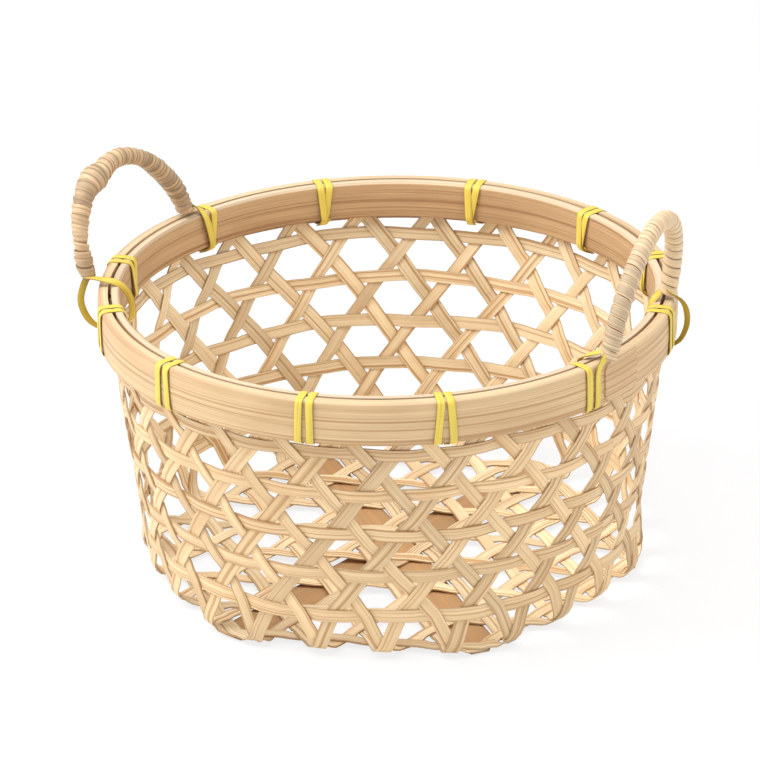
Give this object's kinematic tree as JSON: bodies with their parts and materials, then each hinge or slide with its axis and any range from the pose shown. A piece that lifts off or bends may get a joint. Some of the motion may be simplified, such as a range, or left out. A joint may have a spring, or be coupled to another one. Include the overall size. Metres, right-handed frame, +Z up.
{
  "type": "bamboo basket",
  "caption": "Round open-weave bamboo basket with a hexagonal mesh, a hooped rim tied with tape, and wrapped arch handles that swing in tape rings.",
  "frame": {"origin": "on the ground under the middle of the basket", "axes": "+Z up through the mouth, +X from the middle towards one handle, +Y along the line of its two feet"},
  "size_m": [0.26, 0.2518, 0.178],
  "materials": {
    "weave": "split bamboo, satin",
    "outer_hoop": "split bamboo, satin",
    "inner_hoop": "split bamboo, dull",
    "tape": "smooth flat tape",
    "core": "bare cane",
    "peel": "rattan peel, satin"
  },
  "bodies": {
    "basket": {"weave_strip_a1": "weave", "weave_strip_a2": "weave", "weave_strip_a3": "weave", "weave_strip_a4": "weave", "weave_strip_a5": "weave", "weave_strip_a6": "weave", "weave_strip_a7": "weave", "weave_strip_a8": "weave", "weave_strip_b1": "weave", "weave_strip_b2": "weave", "weave_strip_b3": "weave", "weave_strip_b4": "weave", "weave_strip_b5": "weave", "weave_strip_b6": "weave", "weave_strip_b7": "weave", "weave_strip_b8": "weave", "weave_strip_c1": "weave", "weave_strip_c2": "weave", "weave_strip_c3": "weave", "weave_strip_c4": "weave", "weave_strip_c5": "weave", "weave_strip_c6": "weave", "weave_strip_c7": "weave", "weave_strip_c8": "weave", "base_slat_1": "weave", "base_slat_2": "weave", "wall_hoop_1": "weave", "wall_hoop_2": "weave", "wall_hoop_3": "weave", "wall_hoop_4": "weave", "wall_hoop_5": "weave", "rim_outer_hoop": "outer_hoop", "rim_inner_hoop": "inner_hoop", "foot_ring_right_1": "tape", "foot_ring_right_2": "tape", "foot_ring_left_1": "tape", "foot_ring_left_2": "tape", "rim_tie_01": "tape", "rim_tie_02": "tape", "rim_tie_03": "tape", "rim_tie_04": "tape", "rim_tie_05": "tape", "rim_tie_06": "tape", "rim_tie_07": "tape", "rim_tie_08": "tape", "rim_tie_09": "tape", "rim_tie_10": "tape"},
    "handle_right": {"handle_right_core": "core", "handle_right_wrap": "peel"},
    "handle_left": {"handle_left_core": "core", "handle_left_wrap": "peel"}
  },
  "joints": [
    {"name": "handle_right_swing", "type": "hinge", "parent": "basket", "child": "handle_right", "pos_m": [0.1189, -0.0081, 0.1331], "axis": [0, 1, 0], "range_deg": [-80, 75]},
    {"name": "handle_left_swing", "type": "hinge", "parent": "basket", "child": "handle_left", "pos_m": [-0.11812, -0.00166, 0.1331], "axis": [-0.1045, -0.9945, 0], "range_deg": [-80, 75]}
  ]
}
